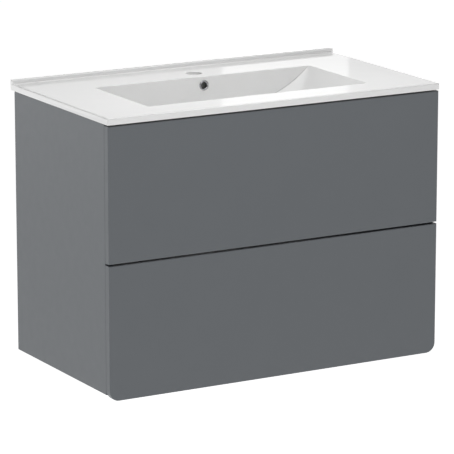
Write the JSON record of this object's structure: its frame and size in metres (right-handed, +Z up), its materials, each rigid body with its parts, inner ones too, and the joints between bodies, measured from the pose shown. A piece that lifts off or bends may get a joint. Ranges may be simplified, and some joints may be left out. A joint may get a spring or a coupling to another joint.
{
  "type": "bathroom vanity cabinet",
  "caption": "Wall-hung vanity with a ceramic washbasin on a graphite carcass and two handle-less full-width drawers on ball-bearing runners; the upper drawer is cut out for the trap.",
  "frame": {"origin": "on the wall plane, at the centre of the rectangle of four wall-plate holes", "axes": "+X to the right seen from the front, +Y into the wall (the drawers open along -Y), +Z up"},
  "size_m": [0.803, 0.449, 0.606],
  "materials": {
    "graphite_lacquer": "satin graphite-grey lacquer on fibreboard",
    "graphite_board": "satin graphite-grey melamine on 16 mm chipboard",
    "box_board": "light grey linen-embossed melamine on board",
    "glazed_ceramic": "white high-gloss glaze",
    "chrome": "polished",
    "zinc_steel": "zinc-plated cold-rolled sheet",
    "bright_steel": "ball cages and hardened balls",
    "zinc_screw": "zinc-plated",
    "zinc_cast": "die-cast zinc",
    "white_plastic": "moulded",
    "grey_plastic": "moulded",
    "beech": "turned and fluted beech",
    "rubber": "soft"
  },
  "bodies": {
    "cabinet": {"bottom_panel": "graphite_board", "cabinet_runner_screws": "zinc_screw", "cam_bolts": "zinc_screw", "cam_locks": "zinc_cast", "carcass_dowels": "beech", "front_top_rail": "graphite_board", "hanger_adjusting_screws": "zinc_screw", "left_hanger_hook": "zinc_steel", "left_hanger_housing": "white_plastic", "left_lower_cabinet_runner": "zinc_steel", "left_side_panel": "graphite_board", "left_upper_cabinet_runner": "zinc_steel", "left_wall_plate": "zinc_steel", "overflow_ring": "chrome", "push_latch_housings": "grey_plastic", "rear_bottom_rail": "graphite_board", "rear_top_rail": "graphite_board", "right_hanger_hook": "zinc_steel", "right_hanger_housing": "white_plastic", "right_lower_cabinet_runner": "zinc_steel", "right_side_panel": "graphite_board", "right_upper_cabinet_runner": "zinc_steel", "right_wall_plate": "zinc_steel", "wall_spacers": "rubber", "washbasin": "glazed_ceramic"},
    "upper_drawer": {"front_cutout_wall": "box_board", "left_cutout_wall": "box_board", "left_upper_box_back": "box_board", "left_upper_box_side": "box_board", "left_upper_drawer_runner": "zinc_steel", "right_cutout_wall": "box_board", "right_upper_box_back": "box_board", "right_upper_box_side": "box_board", "right_upper_drawer_runner": "zinc_steel", "upper_box_bottom": "box_board", "upper_box_front": "box_board", "upper_drawer_front": "graphite_lacquer", "upper_front_screws": "zinc_screw", "upper_runner_screws": "zinc_screw"},
    "lower_drawer": {"left_lower_box_side": "box_board", "left_lower_drawer_runner": "zinc_steel", "lower_box_back": "box_board", "lower_box_bottom": "box_board", "lower_box_front": "box_board", "lower_drawer_front": "graphite_lacquer", "lower_front_screws": "zinc_screw", "lower_runner_screws": "zinc_screw", "right_lower_box_side": "box_board", "right_lower_drawer_runner": "zinc_steel"},
    "lower_middle_runners": {"left_lower_middle_runner": "zinc_steel", "right_lower_middle_runner": "zinc_steel"},
    "upper_middle_runners": {"left_upper_middle_runner": "zinc_steel", "right_upper_middle_runner": "zinc_steel"},
    "lower_inner_cages": {"lower_inner_ball_cages": "bright_steel"},
    "lower_latch_plungers": {"lower_latch_plungers": "white_plastic"},
    "lower_outer_cages": {"lower_outer_ball_cages": "bright_steel"},
    "upper_inner_cages": {"upper_inner_ball_cages": "bright_steel"},
    "upper_latch_plungers": {"upper_latch_plungers": "white_plastic"},
    "upper_outer_cages": {"upper_outer_ball_cages": "bright_steel"}
  },
  "joints": [
    {"name": "upper_drawer_slide", "type": "slide", "parent": "cabinet", "child": "upper_drawer", "axis": [0, -1, 0], "range_m": [0, 0.35]},
    {"name": "lower_drawer_slide", "type": "slide", "parent": "cabinet", "child": "lower_drawer", "axis": [0, -1, 0], "range_m": [0, 0.35]},
    {"name": "upper_middle_runners_slide", "type": "slide", "parent": "cabinet", "child": "upper_middle_runners", "axis": [0, -1, 0], "range_m": [0, 0.175]},
    {"name": "upper_outer_cages_slide", "type": "slide", "parent": "cabinet", "child": "upper_outer_cages", "axis": [0, -1, 0], "range_m": [0, 0.0875]},
    {"name": "upper_inner_cages_slide", "type": "slide", "parent": "cabinet", "child": "upper_inner_cages", "axis": [0, -1, 0], "range_m": [0, 0.2625]},
    {"name": "upper_latch_plungers_slide", "type": "slide", "parent": "cabinet", "child": "upper_latch_plungers", "axis": [0, -1, 0], "range_m": [0, 0.0119]},
    {"name": "lower_middle_runners_slide", "type": "slide", "parent": "cabinet", "child": "lower_middle_runners", "axis": [0, -1, 0], "range_m": [0, 0.175]},
    {"name": "lower_outer_cages_slide", "type": "slide", "parent": "cabinet", "child": "lower_outer_cages", "axis": [0, -1, 0], "range_m": [0, 0.0875]},
    {"name": "lower_inner_cages_slide", "type": "slide", "parent": "cabinet", "child": "lower_inner_cages", "axis": [0, -1, 0], "range_m": [0, 0.2625]},
    {"name": "lower_latch_plungers_slide", "type": "slide", "parent": "cabinet", "child": "lower_latch_plungers", "axis": [0, -1, 0], "range_m": [0, 0.0119]}
  ],
  "couplings": [
    {"joint": "upper_middle_runners_slide", "follows": "upper_drawer_slide", "ratio": 0.5},
    {"joint": "upper_outer_cages_slide", "follows": "upper_drawer_slide", "ratio": 0.25},
    {"joint": "upper_inner_cages_slide", "follows": "upper_drawer_slide", "ratio": 0.75},
    {"joint": "upper_latch_plungers_slide", "follows": "upper_drawer_slide", "ratio": 0.034},
    {"joint": "lower_middle_runners_slide", "follows": "lower_drawer_slide", "ratio": 0.5},
    {"joint": "lower_outer_cages_slide", "follows": "lower_drawer_slide", "ratio": 0.25},
    {"joint": "lower_inner_cages_slide", "follows": "lower_drawer_slide", "ratio": 0.75},
    {"joint": "lower_latch_plungers_slide", "follows": "lower_drawer_slide", "ratio": 0.034}
  ]
}
